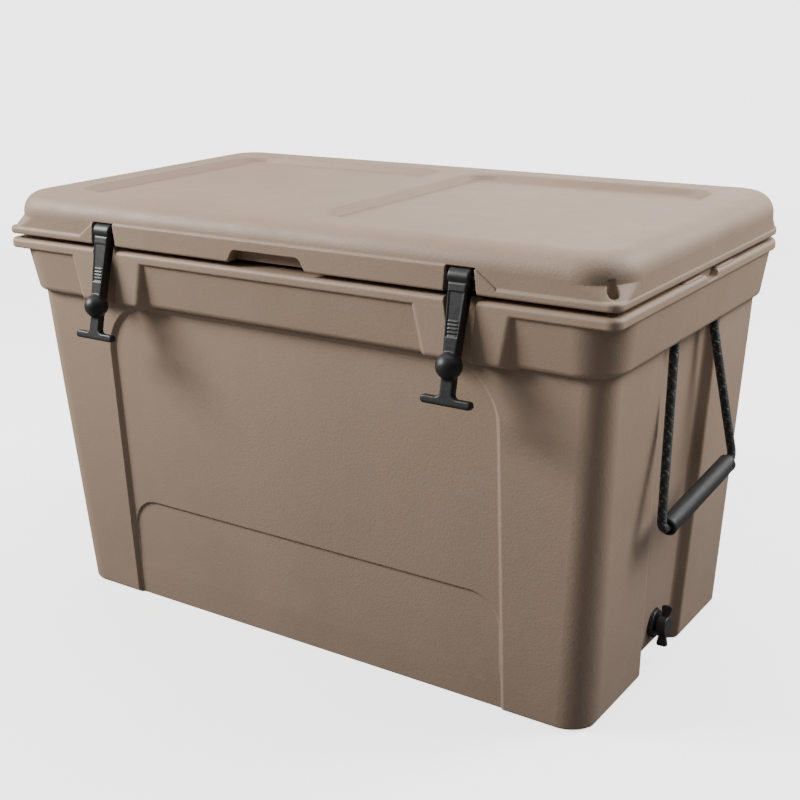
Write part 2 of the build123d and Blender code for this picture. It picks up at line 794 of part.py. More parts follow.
def handle_grip():
    with BuildPart() as grip:
        with BuildSketch(Plane(origin=GRIP_FRONT, z_dir=GRIP_DIR)):
            Circle(GRIP_R)
            Circle(GRIP_BORE_R, mode=Mode.SUBTRACT)
        extrude(amount=GRIP_LENGTH)
        circles = grip.edges().filter_by(GeomType.CIRCLE)
        fillet(circles.sort_by(SortBy.RADIUS)[-2:], 1.6)
    return grip.part


def rope_knots():
    """Fixed ends of the rope: a stub through the collar and a knot in its pocket."""
    with BuildPart() as knots:
        for y in (ROPE_Y, -ROPE_Y):
            add(z_cylinders(ROPE_Z + ROPE_R + 0.2, [(ROPE_X, y)], ROPE_R, 62.0))
            with Locations((ROPE_X, y, 480.0)):
                Sphere(7.8)
    return knots.part


def rope_caps():
    fit = 0.1                       # gap all round the cap in its seat
    with BuildPart() as caps:
        with BuildSketch(Plane.XY.offset(CAP_Z)):
            with Locations((CAP_X, CAP_Y), (CAP_X, -CAP_Y)):
                RectangleRounded(CAP_W - 2 * fit, CAP_L - 2 * fit, CAP_R - fit)
        extrude(amount=5.6)
        fillet(caps.edges().group_by(Axis.Z)[-1], 1.5)
    return caps.part


# ---------------------------------------------------------------- drain
def drain_gasket():
    with BuildPart() as gasket:
        with BuildSketch(Plane.YZ.offset(DRAIN_SEAT_X)):
            with Locations(DRAIN):
                Circle(17.0)
                Circle(10.2, mode=Mode.SUBTRACT)
        extrude(amount=DRAIN_GASKET_T)
    return gasket.part


def drain_fitting():
    inner_x = 338.0
    with BuildPart() as fitting:
        add(x_cylinder(DRAIN_FLANGE_X, DRAIN, 18.5, DRAIN_FLANGE_T))
        fillet(fitting.edges().group_by(Axis.X)[-1], 1.5)
        add(x_cylinder(inner_x, DRAIN, 9.9, DRAIN_FLANGE_X - inner_x))
        cut(x_cylinder(DRAIN_START_X, DRAIN, 7.0, 80.0))
    return fitting.part


def drain_nut():
    with BuildPart() as nut:
        with BuildSketch(Plane.YZ.offset(DRAIN_NUT_X)):
            with Locations(DRAIN):
                RegularPolygon(15.5, 6)
                Circle(9.95, mode=Mode.SUBTRACT)
        extrude(amount=DRAIN_NUT_T)
        chamfer(nut.edges().group_by(Axis.X)[0].filter_by(GeomType.LINE), 1.0)
    return nut.part


def drain_oring():
    with BuildPart() as oring:
        with Locations(Location((DRAIN_FACE_X + 1.0, 0, DRAIN_Z), (0, 90, 0))):
            Torus(8.6, 0.98)
    return oring.part


def drain_plug():
    knob_x = DRAIN_FACE_X + 2.0
    tilt = radians(WING_TILT)
    wing_plane = Plane(
        origin=(DRAIN_FACE_X + 9.0, 0, DRAIN_Z),
        x_dir=(1, 0, 0),
        z_dir=(0, cos(tilt), -sin(tilt)),
    )
    # outline of the two wings: x out from the plane's origin, y along the wings
    wing_points = (
        (-5.0, 0.0), (-4.0, 12.0), (-6.0, 26.0), (9.0, 26.0), (5.0, 12.0),
        (5.5, 0.0), (5.0, -12.0), (9.0, -26.0), (-6.0, -26.0), (-4.0, -12.0),
    )
    with BuildPart() as plug:
        # threaded shank, modelled plain, inside the fitting
        add(x_cylinder(DRAIN_FACE_X - 22.0, DRAIN, 6.9, 24.5))
        chamfer(plug.edges().group_by(Axis.X)[0], 1.2)
        # knob
        add(x_cylinder(knob_x, DRAIN, 12.5, 13.0))
        soften(
            [
                edge
                for edge in plug.edges()
                if edge.center().X > knob_x - 0.5 and edge.length > 60.0
            ],
            (1.6, 1.0),
        )
        # two flared finger wings
        with BuildSketch(wing_plane) as wings:
            Polygon(*wing_points, align=None)
            fillet([vertex for vertex in wings.vertices() if abs(vertex.Y) > 20.0], 3.0)
            fillet([vertex for vertex in wings.vertices() if 11.0 < abs(vertex.Y) < 13.0], 4.0)
        extrude(amount=2.9, both=True)
    return plug.part


# ---------------------------------------------------------------- feet
SCREW_SEAT_Z = 3.0                  # top of the screw head's counterbore


def feet():
    with BuildPart() as pads:
        add(z_cylinders(0.0, FEET, FOOT_R - 0.05, FOOT_TOP_Z))
        fillet(pads.edges().group_by(Axis.Z)[0], 1.2)
        cut(z_cylinders(0.0, FEET, 5.5, SCREW_SEAT_Z))
        cut(z_cylinders(0.0, FEET, 2.25, 10.0))
    return pads.part


def foot_screws():
    head_height = 2.0
    with BuildPart() as screws:
        add(z_cylinders(SCREW_SEAT_Z - head_height, FEET, 4.8, head_height))
        fillet(screws.edges().group_by(Axis.Z)[0], 0.6)
        add(z_cylinders(SCREW_SEAT_Z, FEET, 2.15, 13.0))
    return screws.part


# ---------------------------------------------------------------- files
def save(name, part):
    part.label = name
    export_step(part, f"parts/{name}.step")


def save_pair(name, right):
    """Save a piece of the right side and its mirror image on the left."""
    save(f"{name}_right", right)
    with BuildPart() as left:
        add(mirror(right, about=Plane.YZ, mode=Mode.PRIVATE))
    save(f"{name}_left", left.part)


tub_core = body_foam()
lid_core = lid_foam()

save("body_shell", body_shell(tub_core))
save("body_foam", tub_core)
save("body_foam_plug", foam_plug(TUB_PORT_X, UNDER_Z))
save("lid_shell", lid_shell(lid_core))
save("lid_foam", lid_core)
save("lid_foam_plug", foam_plug(LID_PORT_X, LID_UNDER_Z))
save("lid_gasket", lid_gasket())
save_pair("hinge_rod", hinge_rod())
save_pair("latch", latch())
save_pair("latch_pin", latch_pin())
save_pair("handle_rope", handle_rope())
save_pair("handle_grip", handle_grip())
save_pair("rope_knots", rope_knots())
save_pair("rope_caps", rope_caps())
save("drain_fitting", drain_fitting())
save("drain_gasket", drain_gasket())
save("drain_nut", drain_nut())
save("drain_oring", drain_oring())
save("drain_plug", drain_plug())
save("feet", feet())
save("foot_screws", foot_screws())
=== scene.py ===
# Rotomoulded cool box with rubber latches, braided rope handles and a drain plug.
# It stands on z = 0 in metres, long side along X, latches on the front (-Y),
# and a rope handle at each end: "right" is +X and "left" is -X.
import bpy
import bmesh
import math
import numpy as np
from mathutils import Vector, Matrix


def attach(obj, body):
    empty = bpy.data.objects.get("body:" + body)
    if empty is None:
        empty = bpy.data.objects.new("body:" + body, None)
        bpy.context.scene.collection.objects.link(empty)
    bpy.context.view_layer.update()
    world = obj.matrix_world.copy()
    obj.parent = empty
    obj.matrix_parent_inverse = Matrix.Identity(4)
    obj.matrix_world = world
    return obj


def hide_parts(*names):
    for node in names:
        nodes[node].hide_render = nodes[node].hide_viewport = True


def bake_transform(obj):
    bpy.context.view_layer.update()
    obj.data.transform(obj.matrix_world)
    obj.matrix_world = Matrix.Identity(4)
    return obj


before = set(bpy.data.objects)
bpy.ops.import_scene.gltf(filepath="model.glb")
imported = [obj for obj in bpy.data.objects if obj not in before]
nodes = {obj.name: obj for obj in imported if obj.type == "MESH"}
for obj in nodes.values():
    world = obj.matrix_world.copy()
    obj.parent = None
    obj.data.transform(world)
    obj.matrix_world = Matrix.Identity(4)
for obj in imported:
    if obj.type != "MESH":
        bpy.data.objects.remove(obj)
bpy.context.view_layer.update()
scene = bpy.context.scene

SIDES = (("right", 1.0), ("left", -1.0))    # name, sign of X


# ------------------------------------------------------------------ shader nodes
class Nodes:
    """Builds the node tree of a material or a world."""

    def __init__(self, owner):
        owner.use_nodes = True
        self.tree = owner.node_tree
        self.tree.nodes.clear()

    def feed(self, socket, value):
        """Links a socket to another, or sets its plain value; colours are given as RGB."""
        if isinstance(value, bpy.types.NodeSocket):
            self.tree.links.new(value, socket)
        elif socket.type == "RGBA":
            socket.default_value = (*value, 1)
        else:
            socket.default_value = value

    def add(self, kind, inputs=None, **settings):
        node = self.tree.nodes.new("ShaderNode" + kind)
        for key, value in settings.items():
            setattr(node, key, value)
        for key, value in (inputs or {}).items():
            self.feed(node.inputs[key], value)
        return node


class Material(Nodes):
    """A Principled material with short calls for the usual texture nodes."""

    def __init__(self, name):
        self.material = bpy.data.materials.new(name)
        super().__init__(self.material)
        self.output = self.add("OutputMaterial")
        self.shader = self.add("BsdfPrincipled")
        self.feed(self.output.inputs[0], self.shader.outputs[0])
        self.place = self.add("TexCoord").outputs["Object"]

    def noise(self, scale, detail, roughness, place=None, distortion=0.0):
        return self.add("TexNoise", {
            "Scale": scale, "Detail": detail, "Roughness": roughness,
            "Distortion": distortion, "Vector": place or self.place}).outputs["Fac"]

    def cells(self, scale):
        inputs = {"Scale": scale, "Vector": self.place}
        return self.add("TexVoronoi", inputs).outputs["Distance"]

    def stretch(self, x, y, z):
        """Scaled coordinates: a texture runs longest on the axis with the least scale."""
        return self.add("Mapping", {"Scale": (x, y, z), "Vector": self.place}).outputs[0]

    def ramp(self, value, start, end, first=0.0, last=1.0):
        """Grey going from first to last while the value goes from start to end."""
        node = self.add("ValToRGB", {0: value})
        stops = ((start, first), (end, last))
        for element, (position, grey) in zip(node.color_ramp.elements, stops):
            element.position = position
            element.color = (grey, grey, grey, 1)
        return node.outputs[0]

    def math(self, operation, a, b, clamp=False):
        return self.add("Math", {0: a, 1: b}, operation=operation, use_clamp=clamp).outputs[0]

    def times(self, a, b, clamp=False):
        return self.math("MULTIPLY", a, b, clamp)

    def spread(self, low, span, mask):
        return self.math("ADD", low, self.times(mask, span))

    def mix(self, factor, under, over):
        return self.add("Mix", {0: factor, 6: under, 7: over}, data_type="RGBA").outputs[2]

    def cover(self, under, over, mask, amount):
        return self.mix(self.times(mask, amount), under, over)

    def bevel(self, radius, samples=4):
        return self.add("Bevel", {"Radius": radius}, samples=samples).outputs[0]

    def edges(self, radius, gain):
        """0 on flats, towards 1 on convex and concave edges."""
        rounded = self.bevel(radius)
        normal = self.add("NewGeometry").outputs["Normal"]
        dot = self.add("VectorMath", {0: rounded, 1: normal}, operation="DOT_PRODUCT")
        turn = self.math("SUBTRACT", 1.0, dot.outputs["Value"], clamp=True)
        return self.times(turn, gain, clamp=True)

    def bump(self, height, strength, distance, normal=None):
        inputs = {"Strength": strength, "Distance": distance, "Height": height}
        if normal is not None:
            inputs["Normal"] = normal
        return self.add("Bump", inputs).outputs[0]

    def finish(self, values):
        """Sets inputs of the Principled shader and returns the material."""
        for key, value in values.items():
            self.feed(self.shader.inputs[key], value)
        return self.material


# ------------------------------------------------------------------ materials
def scaled(color, factor):
    return tuple(c * factor for c in color)


def shell_material(name, tone=1.0):
    """Tan polyethylene: cloudy colour, fine orange peel, rubbed pale on its edges, with painted
    shade towards the ground.
    """
    base = scaled((0.340, 0.240, 0.172), tone)
    light = scaled((0.400, 0.300, 0.226), tone)
    dark = scaled((0.262, 0.186, 0.134), tone)
    # colour of the painted shade near the ground
    ground_shade = scaled((0.215, 0.158, 0.122), tone)
    rubbed = scaled((0.56, 0.44, 0.345), tone)
    scuffed = (0.50, 0.41, 0.34)
    # height up to which the painted shade reaches
    ground_shade_height = 0.46

    m = Material(name)
    cloud = m.noise(scale=5.5, detail=4.0, roughness=0.62, distortion=0.5)
    cloud = m.ramp(cloud, start=0.30, end=0.72)
    upright = m.stretch(x=9, y=9, z=2.2)
    streak = m.noise(scale=1.0, detail=5.0, roughness=0.6, place=upright)
    streak = m.ramp(streak, start=0.35, end=0.70)
    grain = m.ramp(m.noise(scale=950.0, detail=2.0, roughness=0.7), start=0.38, end=0.66)
    fleck = m.ramp(m.cells(scale=520.0), start=0.05, end=0.16, first=1.0, last=0.0)
    color = m.cover(base, light, mask=cloud, amount=0.42)
    color = m.cover(color, dark, mask=streak, amount=0.28)
    color = m.cover(color, light, mask=grain, amount=0.34)
    color = m.cover(color, dark, mask=fleck, amount=0.20)

    # painted shade: greyer and darker towards the ground, standing in for the lower walls
    # getting less light
    height = m.add("SeparateXYZ", {0: m.place}).outputs["Z"]
    low = m.math("SUBTRACT", 1.0, m.times(height, 1 / ground_shade_height), clamp=True)
    low = m.times(low, m.spread(low=0.45, span=0.4, mask=cloud))
    color = m.cover(color, ground_shade, mask=low, amount=0.85)

    # rubbed edges
    patchy = m.noise(scale=45.0, detail=4.0, roughness=0.7)
    patchy = m.ramp(patchy, start=0.30, end=0.62, first=0.25)
    worn = m.times(m.edges(radius=0.0035, gain=5.0), patchy, clamp=True)
    color = m.cover(color, rubbed, mask=worn, amount=0.42)

    # faint level scuffs
    level = m.stretch(x=1.0, y=1.0, z=5.0)
    scuff = m.noise(scale=14.0, detail=6.0, roughness=0.75, place=level)
    scuff = m.ramp(scuff, start=0.60, end=0.72)
    color = m.cover(color, scuffed, mask=scuff, amount=0.13)

    mottle = m.noise(scale=30.0, detail=4.0, roughness=0.6)
    roughness = m.spread(low=0.42, span=0.22, mask=mottle)
    roughness = m.spread(low=roughness, span=0.08, mask=scuff)

    # orange peel, finer grain and slow waves over softened edges
    soft = m.bevel(radius=0.0022, samples=6)
    peel = m.bump(m.noise(scale=330.0, detail=2.5, roughness=0.55),
                  strength=0.46, distance=0.0007, normal=soft)
    fine = m.bump(m.noise(scale=1500.0, detail=1.5, roughness=0.5),
                  strength=0.30, distance=0.0002, normal=peel)
    wave = m.bump(m.noise(scale=16.0, detail=2.0, roughness=0.45),
                  strength=0.22, distance=0.0022, normal=fine)
    return m.finish({"Base Color": color, "Roughness": roughness, "IOR": 1.5,
                     "Specular IOR Level": 0.42, "Normal": wave})


def rubber_material(name, base, roughness, dust):
    """Moulded black rubber with a dry bloom on its edges."""
    m = Material(name)
    patchy = m.noise(scale=60.0, detail=5.0, roughness=0.65)
    patchy = m.ramp(patchy, start=0.30, end=0.70)
    color = m.cover(base, scaled(base, 2.0), mask=patchy, amount=0.5)
    worn = m.times(m.edges(radius=0.0014, gain=3.5), patchy, clamp=True)
    color = m.cover(color, (0.12, 0.12, 0.125), mask=worn, amount=dust)
    mottle = m.noise(scale=180.0, detail=3.0, roughness=0.6)
    fine = m.bump(m.noise(scale=900.0, detail=2.0, roughness=0.55),
                  strength=0.30, distance=0.0002, normal=m.bevel(radius=0.0007))
    wave = m.bump(m.noise(scale=120.0, detail=2.0, roughness=0.5),
                  strength=0.18, distance=0.0006, normal=fine)
    return m.finish({"Base Color": color, "Specular IOR Level": 0.5, "Normal": wave,
                     "Roughness": m.spread(low=roughness - 0.10, span=0.24, mask=mottle)})


def nylon_material(name):
    """Glass-filled black nylon of the drain parts."""
    m = Material(name)
    patchy = m.noise(scale=140.0, detail=4.0, roughness=0.6)
    patchy = m.ramp(patchy, start=0.30, end=0.70)
    color = m.cover((0.010, 0.010, 0.011), (0.026, 0.026, 0.028), mask=patchy, amount=0.6)
    worn = m.times(m.edges(radius=0.001, gain=4.0), patchy, clamp=True)
    color = m.cover(color, (0.11, 0.11, 0.11), mask=worn, amount=0.35)
    mottle = m.noise(scale=420.0, detail=3.0, roughness=0.6)
    fine = m.bump(m.noise(scale=1300.0, detail=2.0, roughness=0.5),
                  strength=0.25, distance=0.00015, normal=m.bevel(radius=0.0005))
    return m.finish({"Base Color": color, "Normal": fine,
                     "Roughness": m.spread(low=0.30, span=0.25, mask=mottle)})


def rope_material(name, base, fleck):
    """Polypropylene yarn: fine fibres, and patches of a second colour."""
    m = Material(name)
    fibre = m.noise(scale=2600.0, detail=3.0, roughness=0.7)
    patch = m.noise(scale=210.0, detail=3.0, roughness=0.6)
    color = m.mix(m.ramp(patch, start=0.46, end=0.60), base, fleck)
    color = m.cover(color, scaled(base, 2.2), mask=fibre, amount=0.35)
    return m.finish({"Base Color": color, "Roughness": 0.62,
                     "Sheen Weight": 0.25, "Sheen Roughness": 0.45,
                     "Normal": m.bump(fibre, strength=0.5, distance=0.00025)})


def steel_material(name):
    """Stainless steel brushed along X."""
    m = Material(name)
    brushed = m.noise(scale=60.0, detail=6.0, roughness=0.7,
                      place=m.stretch(x=1.0, y=40.0, z=40.0))
    return m.finish({"Metallic": 1.0,
                     "Base Color": m.mix(brushed, (0.46, 0.46, 0.47), (0.66, 0.66, 0.66)),
                     "Roughness": m.spread(low=0.20, span=0.22, mask=brushed),
                     "Normal": m.bump(brushed, strength=0.12, distance=0.0001)})


def foam_material(name):
    m = Material(name)
    cell = m.cells(scale=600.0)
    return m.finish({"Base Color": m.mix(cell, (0.62, 0.50, 0.26), (0.78, 0.68, 0.42)),
                     "Roughness": 0.9,
                     "Normal": m.bump(cell, strength=0.5, distance=0.0006)})


SHELL = shell_material("tan_rotomould")
# the lid is the same tan plastic as the body; its lower tone is painted shade that dims its
# brightly lit top
LID_SHADED = shell_material("tan_rotomould_lid_shaded", tone=0.94)
CAPS = shell_material("tan_rotomould_caps", tone=0.97)
LATCH = rubber_material("latch_rubber", (0.0085, 0.0088, 0.0094), roughness=0.42, dust=0.22)
GASKET = rubber_material("gasket_rubber", (0.010, 0.010, 0.010), roughness=0.62, dust=0.15)
FEET = rubber_material("feet_rubber", (0.014, 0.014, 0.014), roughness=0.66, dust=0.25)
GRIP = rubber_material("grip_rubber", (0.0075, 0.0078, 0.0082), roughness=0.56, dust=0.18)
NYLON = nylon_material("drain_nylon")
ROPE_BLACK = rope_material("rope_black", base=(0.010, 0.010, 0.011), fleck=(0.028, 0.030, 0.032))
ROPE_FLECK = rope_material("rope_fleck", base=(0.036, 0.044, 0.040), fleck=(0.150, 0.175, 0.155))
STEEL = steel_material("stainless_brushed")
FOAM = foam_material("polyurethane_foam")

for material, pieces in (
    (SHELL, "body_shell"),
    (LID_SHADED, "lid_shell"),
    (FOAM, "body_foam lid_foam"),
    (CAPS, "body_foam_plug lid_foam_plug rope_caps_left rope_caps_right"),
    (GASKET, "lid_gasket drain_gasket drain_oring"),
    (STEEL, "hinge_rod_left hinge_rod_right latch_pin_left latch_pin_right foot_screws"),
    (LATCH, "latch_left latch_right"),
    (ROPE_BLACK, "handle_rope_left handle_rope_right rope_knots_left rope_knots_right"),
    (GRIP, "handle_grip_left handle_grip_right"),
    (NYLON, "drain_fitting drain_nut drain_plug"),
    (FEET, "feet"),
):
    for piece in pieces.split():
        slots = nodes[piece].data.materials
        slots.clear()
        slots.append(material)


# ------------------------------------------------------------------ mesh helpers
def new_object(name, points, faces, materials, face_materials=None, smooth=True):
    mesh = bpy.data.meshes.new(name)
    mesh.from_pydata([tuple(map(float, p)) for p in points], [],
                     [tuple(map(int, f)) for f in faces])
    mesh.update()
    for material in materials:
        mesh.materials.append(material)
    if face_materials is not None:
        mesh.polygons.foreach_set("material_index", np.asarray(face_materials, np.int32))
    mesh.polygons.foreach_set("use_smooth", np.full(len(mesh.polygons), smooth))
    made = bpy.data.objects.new(name, mesh)
    scene.collection.objects.link(made)
    return made


def edit_mesh(mesh, operation):
    """Runs a bmesh operation on a mesh in place."""
    work = bmesh.new()
    work.from_mesh(mesh)
    operation(work)
    work.to_mesh(mesh)
    work.free()


def fix_normals(mesh):
    edit_mesh(mesh, lambda work: bmesh.ops.recalc_face_normals(work, faces=work.faces))


def weld(mesh):
    edit_mesh(mesh, lambda work: bmesh.ops.remove_doubles(work, verts=work.verts, dist=1e-6))


def read_points(mesh):
    points = np.zeros(len(mesh.vertices) * 3)
    mesh.vertices.foreach_get("co", points)
    return points.reshape(-1, 3)


def write_points(mesh, points):
    mesh.vertices.foreach_set("co", points.ravel())
    mesh.update()


def relax(mesh, rounds=3, shrink=0.55, swell=-0.50):
    """Taubin smoothing: each shrinking pass is followed by a swelling one."""
    points = read_points(mesh)
    count = len(points)
    edges = np.zeros(len(mesh.edges) * 2, np.int64)
    mesh.edges.foreach_get("vertices", edges)
    start, end = edges.reshape(-1, 2).T
    degree = np.bincount(edges, minlength=count).astype(float)[:, None]
    degree[degree == 0] = 1
    for _ in range(rounds):
        for step in (shrink, swell):
            total = np.zeros_like(points)
            for k in range(3):
                total[:, k] = (np.bincount(start, points[end, k], count)
                               + np.bincount(end, points[start, k], count))
            points = points + step * (total / degree - points)
    write_points(mesh, points)


def soft_copy(piece, name, voxel, material):
    """A copy of a CAD piece with every edge melted like moulded rubber."""
    source = nodes[piece].data.copy()
    source.name = name
    made = bpy.data.objects.new(name, source)
    scene.collection.objects.link(made)
    weld(source)
    remesh = made.modifiers.new("remesh", "REMESH")
    remesh.mode = "VOXEL"
    remesh.voxel_size = voxel
    remesh.use_smooth_shade = True
    graph = bpy.context.evaluated_depsgraph_get()
    graph.update()
    mesh = bpy.data.meshes.new_from_object(made.evaluated_get(graph))
    made.modifiers.clear()
    made.data = mesh
    relax(mesh)
    mesh.materials.clear()
    mesh.materials.append(material)
    mesh.polygons.foreach_set("use_smooth", np.ones(len(mesh.polygons), bool))
    return made


def smoothstep(x):
    x = np.clip(x, 0, 1)
    return x * x * (3 - 2 * x)


def soft_edge(distance, width=0.0010):
    """0 to 1 over a width centred where the distance is 0."""
    return smoothstep(distance / width + 0.5)


def unit(vectors):
    return vectors / np.linalg.norm(vectors, axis=-1, keepdims=True)


# ------------------------------------------------------------------ latches
LATCH_X = 0.266
STRAP_LEAN = math.atan2(17.0, 69.0)
STRAP_DOWN = np.array([0.0, -math.sin(STRAP_LEAN), -math.cos(STRAP_LEAN)])
STRAP_OUT = np.array([0.0, -math.cos(STRAP_LEAN), math.sin(STRAP_LEAN)])
STRAP_TOP = np.array([0.0, -0.255, 0.521])      # top of the strap's front face

# the strap's half width narrows from a little above its top
HALF_WIDTH_TOP, HALF_WIDTH_END = 0.0125, 0.0085
TAPER_RISE, TAPER_LENGTH = 0.004, 0.088

# sunk panel and its cross ribs, measured down the strap face
PANEL_TOP, PANEL_END = 0.0045, 0.0530
PANEL_RIM, PANEL_DEPTH = 0.0030, 0.0011
PANEL_REACH = 0.0030            # points deeper than this behind the face stay put
RIB_TOP, RIB_CREST, RIB_PITCH = 0.0335, 0.0365, 0.0040
RIB_MARGIN, RIB_HEIGHT = 0.0016, 0.0009

BALL_Y, BALL_Z, BALL_RADIUS = -0.272, 0.439, 0.015
RIDGE_HEIGHT, RIDGE_WIDTH = 0.00030, 0.0006
RIDGE_BAND = 0.0022             # how far off the ball's radius the ridge still acts
RIDGE_GAP = 0.002               # half width left plain at the ball's middle


def sink_panel(points, sign):
    """Presses the ribbed panel into the front face of the strap."""
    across = np.abs(points[:, 0] - sign * LATCH_X)
    offset = points - STRAP_TOP
    down = offset @ STRAP_DOWN
    out = offset @ STRAP_OUT
    taper = np.clip((down + TAPER_RISE) / TAPER_LENGTH, 0, 1)
    inset = HALF_WIDTH_TOP - (HALF_WIDTH_TOP - HALF_WIDTH_END) * taper - PANEL_RIM
    panel = soft_edge(inset - across) * soft_edge(down - PANEL_TOP)
    panel *= soft_edge(PANEL_END - down) * (out > -PANEL_REACH)
    ribs = 0.5 + 0.5 * np.cos((down - RIB_CREST) / RIB_PITCH * 2 * math.pi)
    ribs = smoothstep(ribs * 1.6 - 0.4)         # flatter crests and valleys
    ribs *= smoothstep((down - RIB_TOP) / 0.0012) * smoothstep((PANEL_END - down) / 0.0020)
    ribs *= soft_edge(inset - RIB_MARGIN - across, width=0.0008)
    depth = panel * (PANEL_DEPTH - RIB_HEIGHT * ribs)
    return points - depth[:, None] * STRAP_OUT


def raise_parting_ridge(points, sign):
    """Raises a thin mould line round the ball."""
    offset = points - np.array([sign * LATCH_X, BALL_Y, BALL_Z])
    radius = np.linalg.norm(offset, axis=1)
    near = np.abs(radius - BALL_RADIUS) < RIDGE_BAND
    near &= np.abs(offset[:, 0]) > RIDGE_GAP
    ridge = np.exp(-((offset @ STRAP_OUT) / RIDGE_WIDTH) ** 2) * near
    outward = offset / np.maximum(radius, 1e-6)[:, None]
    return points + outward * (RIDGE_HEIGHT * ridge)[:, None]


for side, sign in SIDES:
    latch = soft_copy("latch_" + side, "latch_rubber_" + side, voxel=0.0008, material=LATCH)
    points = sink_panel(read_points(latch.data), sign)
    write_points(latch.data, raise_parting_ridge(points, sign))
    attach(latch, "latch_" + side[0])
    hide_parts("latch_" + side)

# ------------------------------------------------------------------ ropes
# Places are for the right handle; the left one is mirrored in X.
ROPE_X, ROPE_Y = 0.432, 0.060               # the two upright runs stand at -Y and +Y
ROPE_TOP, ROPE_EXIT = 0.4545, 0.428         # heights of the rope's end and its first bend
GRIP_FRONT = np.array([0.443, -0.086, 0.223])
GRIP_BACK = np.array([0.453, 0.079, 0.251])
GRIP_AXIS = unit(GRIP_BACK - GRIP_FRONT)
GRIP_LENGTH = float(np.linalg.norm(GRIP_BACK - GRIP_FRONT))
CORNER_REACH = 0.014                        # from a grip mouth to the rope's corner
CORNER_RADIUS = 0.010

STRANDS = 8                                 # in each winding direction
STRAND_SIDES, CORE_SIDES = 6, 12
TWIST = 2 * math.pi / 0.030                 # radians per metre, one turn in 30 mm
BRAID_RADIUS, WEAVE_HEIGHT = 0.00436, 0.00055
STRAND_HALF_THICKNESS, STRAND_HALF_WIDTH = 0.00085, 0.00132
CORE_RADIUS = 0.0039


def corner_arc(before, corner, after, count=14):
    """Points of the round that replaces a sharp corner."""
    u, v = unit(before - corner), unit(after - corner)
    half = math.acos(float(np.clip(u @ v, -1, 1))) / 2
    setback = CORNER_RADIUS / math.tan(half)
    centre = corner + unit(u + v) * (CORNER_RADIUS / math.sin(half))
    a, b = corner + u * setback - centre, corner + v * setback - centre
    angle = math.acos(float(np.clip(a @ b / (CORNER_RADIUS * CORNER_RADIUS), -1, 1)))
    return [centre + (math.sin((1 - k) * angle) * a + math.sin(k * angle) * b) / math.sin(angle)
            for k in np.linspace(0, 1, count)]


def resample(points, step):
    """Evenly spaced points along a line, and their distances from its start."""
    points = np.asarray(points)
    lengths = np.linalg.norm(np.diff(points, axis=0), axis=1)
    reached = np.concatenate([[0], np.cumsum(lengths)])
    wanted = np.linspace(0, reached[-1], int(reached[-1] / step) + 1)
    return np.stack([np.interp(wanted, reached, points[:, k]) for k in range(3)], 1), wanted


def rope_line(sign, window=31):
    """Centre line: down at the front, through the grip and up at the back."""
    front_top, back_top = (np.array([ROPE_X, y, ROPE_TOP]) for y in (-ROPE_Y, ROPE_Y))
    front_exit, back_exit = (np.array([ROPE_X, y, ROPE_EXIT]) for y in (-ROPE_Y, ROPE_Y))
    front_corner = GRIP_FRONT - GRIP_AXIS * CORNER_REACH
    back_corner = GRIP_BACK + GRIP_AXIS * CORNER_REACH
    line = [front_top, front_exit]
    line += corner_arc(front_exit, front_corner, back_corner)
    line += corner_arc(front_corner, back_corner, back_exit)
    line += [back_exit, back_top]
    line, _ = resample(line, step=0.0004)
    # a running mean eases the bends, as in stiff rope
    weights = np.hanning(window + 2)[1:-1]
    weights /= weights.sum()
    margin = window // 2
    padded = np.concatenate([np.repeat(line[:1], margin, 0), line,
                             np.repeat(line[-1:], margin, 0)])
    eased = np.stack([np.convolve(padded[:, k], weights, "valid") for k in range(3)], 1)
    return resample(eased * np.array([sign, 1.0, 1.0]), step=0.0006)


def tangents(line):
    return unit(np.gradient(line, axis=0))


def square_to(vectors, direction):
    """Unit vectors with their part along the direction taken out."""
    along = np.sum(vectors * direction, -1, keepdims=True)
    return unit(vectors - direction * along)


def carried_frames(line):
    """Two directions square to the line, carried along it without twist."""
    direction = tangents(line)
    normal = np.zeros_like(line)
    carried = np.array([1.0, 0.0, 0.0])
    for i in range(len(line)):
        carried = square_to(carried, direction[i])
        normal[i] = carried
    return normal, np.cross(direction, normal)


class Tubes:
    """Collects capped tubes into one mesh."""

    def __init__(self):
        self.points, self.faces, self.face_materials = [], [], []

    def add(self, line, axes, radii, sides, material=0):
        """Sweeps an ellipse with the given axes and radii along the line."""
        rings = []
        for q in range(sides):
            angle = 2 * math.pi * q / sides
            rings.append(line + axes[0] * (math.cos(angle) * radii[0])
                         + axes[1] * (math.sin(angle) * radii[1]))
        first = len(self.points)
        self.points += np.stack(rings, 1).reshape(-1, 3).tolist()
        base = first + np.arange(len(line) - 1)[:, None] * sides
        q = np.arange(sides)[None, :]
        after = (q + 1) % sides
        walls = np.stack([base + q, base + after, base + sides + after, base + sides + q], -1)
        walls = walls.reshape(-1, 4).tolist()
        last = first + (len(line) - 1) * sides
        start_cap = list(range(first, first + sides))
        end_cap = list(range(last, last + sides))[::-1]
        self.faces += walls + [start_cap, end_cap]
        self.face_materials += [material] * len(walls) + [0, 0]


